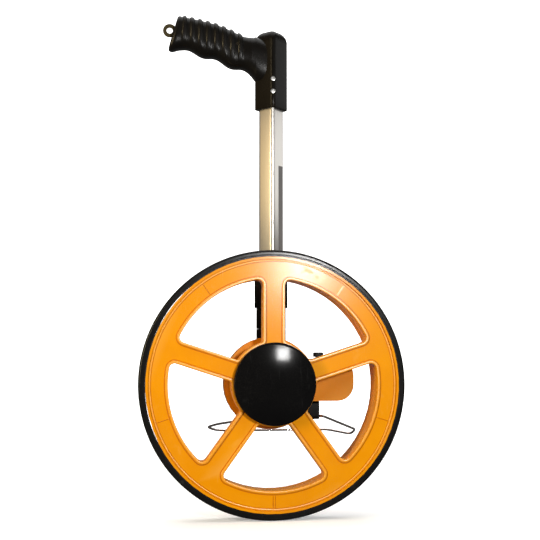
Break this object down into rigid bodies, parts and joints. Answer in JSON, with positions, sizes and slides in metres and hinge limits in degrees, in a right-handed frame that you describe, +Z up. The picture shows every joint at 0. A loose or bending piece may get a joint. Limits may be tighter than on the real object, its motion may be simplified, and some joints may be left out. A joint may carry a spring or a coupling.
{
  "type": "measuring wheel",
  "caption": "Rolling measuring wheel with a geared feet-and-inches counter, a telescoping square pole, a ribbed pistol grip and a fold-down wire stand.",
  "frame": {"origin": "where the tyre touches the ground, on the wheel's middle plane", "axes": "+Z up along the pole, the axle along Y with the hub cap toward -Y and the pole behind the wheel at +Y, the grip toward -X"},
  "size_m": [0.291, 0.1943, 0.5725],
  "materials": {
    "orange_plastic": "orange moulded plastic, satin gloss",
    "black_plastic": "black moulded plastic, glossy",
    "grip_plastic": "black moulded plastic, ribbed, satin gloss",
    "tyre_rubber": "black rubber, matt",
    "aluminium": "satin anodised",
    "zinc_steel": "zinc plated",
    "dark_chrome_wire": "plated spring wire",
    "gear_plastic": "natural moulded plastic",
    "drum_white": "white moulded plastic",
    "clear_plastic": "clear moulded plastic"
  },
  "bodies": {
    "frame": {"stem": "black_plastic", "stem_screw_1": "zinc_steel", "stem_screw_2": "zinc_steel", "inner_tube": "aluminium", "inner_tube_plug": "black_plastic", "axle_bolt": "zinc_steel", "axle_nut": "zinc_steel", "front_washer": "zinc_steel", "rear_washer": "zinc_steel", "bearing_sleeve": "zinc_steel", "rear_sleeve": "zinc_steel", "gear_case": "orange_plastic", "case_back_plate": "black_plastic", "case_screw_1": "zinc_steel", "case_screw_2": "zinc_steel", "idler_pin": "zinc_steel", "counter_box": "orange_plastic", "counter_screw_1": "zinc_steel", "counter_screw_2": "zinc_steel", "counter_screw_3": "zinc_steel", "counter_window": "clear_plastic", "carry_shaft": "zinc_steel", "reset_spring": "zinc_steel", "stand_bracket": "black_plastic", "bracket_screw_1": "zinc_steel", "bracket_screw_2": "zinc_steel"},
    "wheel": {"tyre": "tyre_rubber", "wheel_disc": "orange_plastic", "hub_cap": "black_plastic", "front_bearing": "zinc_steel", "rear_bearing": "zinc_steel", "drive_gear": "gear_plastic", "gear_screw_1": "zinc_steel", "gear_screw_2": "zinc_steel", "gear_screw_3": "zinc_steel"},
    "idler": {"idler_gear": "gear_plastic"},
    "inch_counter": {"counter_pinion": "gear_plastic", "counter_shaft": "zinc_steel", "inch_drum": "drum_white"},
    "feet_ones": {"feet_drum_ones": "drum_white"},
    "feet_tens": {"feet_drum_tens": "drum_white"},
    "feet_hundreds": {"feet_drum_hundreds": "drum_white"},
    "carry_ones": {"carry_pinion_ones": "gear_plastic"},
    "carry_tens": {"carry_pinion_tens": "gear_plastic"},
    "carry_hundreds": {"carry_pinion_hundreds": "gear_plastic"},
    "reset": {"reset_button": "black_plastic"},
    "middle_pole": {"middle_tube": "aluminium", "middle_tube_plug": "black_plastic", "lower_collar": "black_plastic"},
    "lower_button": {"lower_lock_button": "black_plastic"},
    "upper_pole": {"outer_tube": "aluminium", "upper_collar": "black_plastic", "handle_front_shell": "grip_plastic", "handle_back_shell": "grip_plastic", "handle_screw_1": "zinc_steel", "handle_screw_2": "zinc_steel", "hanging_eye": "zinc_steel"},
    "upper_button": {"upper_lock_button": "black_plastic"},
    "stand": {"stand_wire": "dark_chrome_wire"}
  },
  "joints": [
    {"name": "wheel_spin", "type": "hinge", "parent": "frame", "child": "wheel", "pos_m": [0, 0, 0.14553], "axis": [0, 1, 0], "continuous": true},
    {"name": "idler_spin", "type": "hinge", "parent": "frame", "child": "idler", "pos_m": [0.04625, 0, 0.14553], "axis": [0, 1, 0], "continuous": true},
    {"name": "inch_counter_spin", "type": "hinge", "parent": "frame", "child": "inch_counter", "pos_m": [0.07174, 0, 0.15181], "axis": [0, 1, 0], "continuous": true},
    {"name": "feet_ones_spin", "type": "hinge", "parent": "frame", "child": "feet_ones", "pos_m": [0.07174, 0, 0.15181], "axis": [0, 1, 0], "continuous": true},
    {"name": "feet_tens_spin", "type": "hinge", "parent": "frame", "child": "feet_tens", "pos_m": [0.07174, 0, 0.15181], "axis": [0, 1, 0], "continuous": true},
    {"name": "feet_hundreds_spin", "type": "hinge", "parent": "frame", "child": "feet_hundreds", "pos_m": [0.07174, 0, 0.15181], "axis": [0, 1, 0], "continuous": true},
    {"name": "carry_ones_spin", "type": "hinge", "parent": "frame", "child": "carry_ones", "pos_m": [0.05132, 0, 0.15181], "axis": [0, 1, 0], "continuous": true},
    {"name": "carry_tens_spin", "type": "hinge", "parent": "frame", "child": "carry_tens", "pos_m": [0.05132, 0, 0.15181], "axis": [0, 1, 0], "continuous": true},
    {"name": "carry_hundreds_spin", "type": "hinge", "parent": "frame", "child": "carry_hundreds", "pos_m": [0.05132, 0, 0.15181], "axis": [0, 1, 0], "continuous": true},
    {"name": "reset_press", "type": "slide", "parent": "frame", "child": "reset", "axis": [0, 0, -1], "range_m": [0, 0.002], "stiffness_N_per_m": 400, "deforming": ["reset_spring"]},
    {"name": "middle_slide", "type": "slide", "parent": "frame", "child": "middle_pole", "axis": [0, 0, 1], "range_m": [0, 0.2]},
    {"name": "lower_button_press", "type": "slide", "parent": "middle_pole", "child": "lower_button", "axis": [0.7071, -0.7071, 0], "range_m": [0, 0.0012], "stiffness_N_per_m": 500},
    {"name": "outer_slide", "type": "slide", "parent": "middle_pole", "child": "upper_pole", "axis": [0, 0, 1], "range_m": [0, 0.2]},
    {"name": "upper_button_press", "type": "slide", "parent": "upper_pole", "child": "upper_button", "axis": [0.7071, -0.7071, 0], "range_m": [0, 0.0012], "stiffness_N_per_m": 500},
    {"name": "stand_swing", "type": "hinge", "parent": "frame", "child": "stand", "pos_m": [0.034, 0.05, 0.10703], "axis": [1, 0, 0], "range_deg": [-52.5, 0]}
  ],
  "couplings": [
    {"joint": "idler_spin", "follows": "wheel_spin", "ratio": -1.8462},
    {"joint": "inch_counter_spin", "follows": "wheel_spin", "ratio": 3},
    {"joint": "feet_ones_spin", "follows": "wheel_spin", "ratio": 0.3},
    {"joint": "feet_tens_spin", "follows": "wheel_spin", "ratio": 0.03},
    {"joint": "feet_hundreds_spin", "follows": "wheel_spin", "ratio": 0.003},
    {"joint": "carry_ones_spin", "follows": "wheel_spin", "ratio": -0.75},
    {"joint": "carry_tens_spin", "follows": "wheel_spin", "ratio": -0.075},
    {"joint": "carry_hundreds_spin", "follows": "wheel_spin", "ratio": -0.0075}
  ]
}
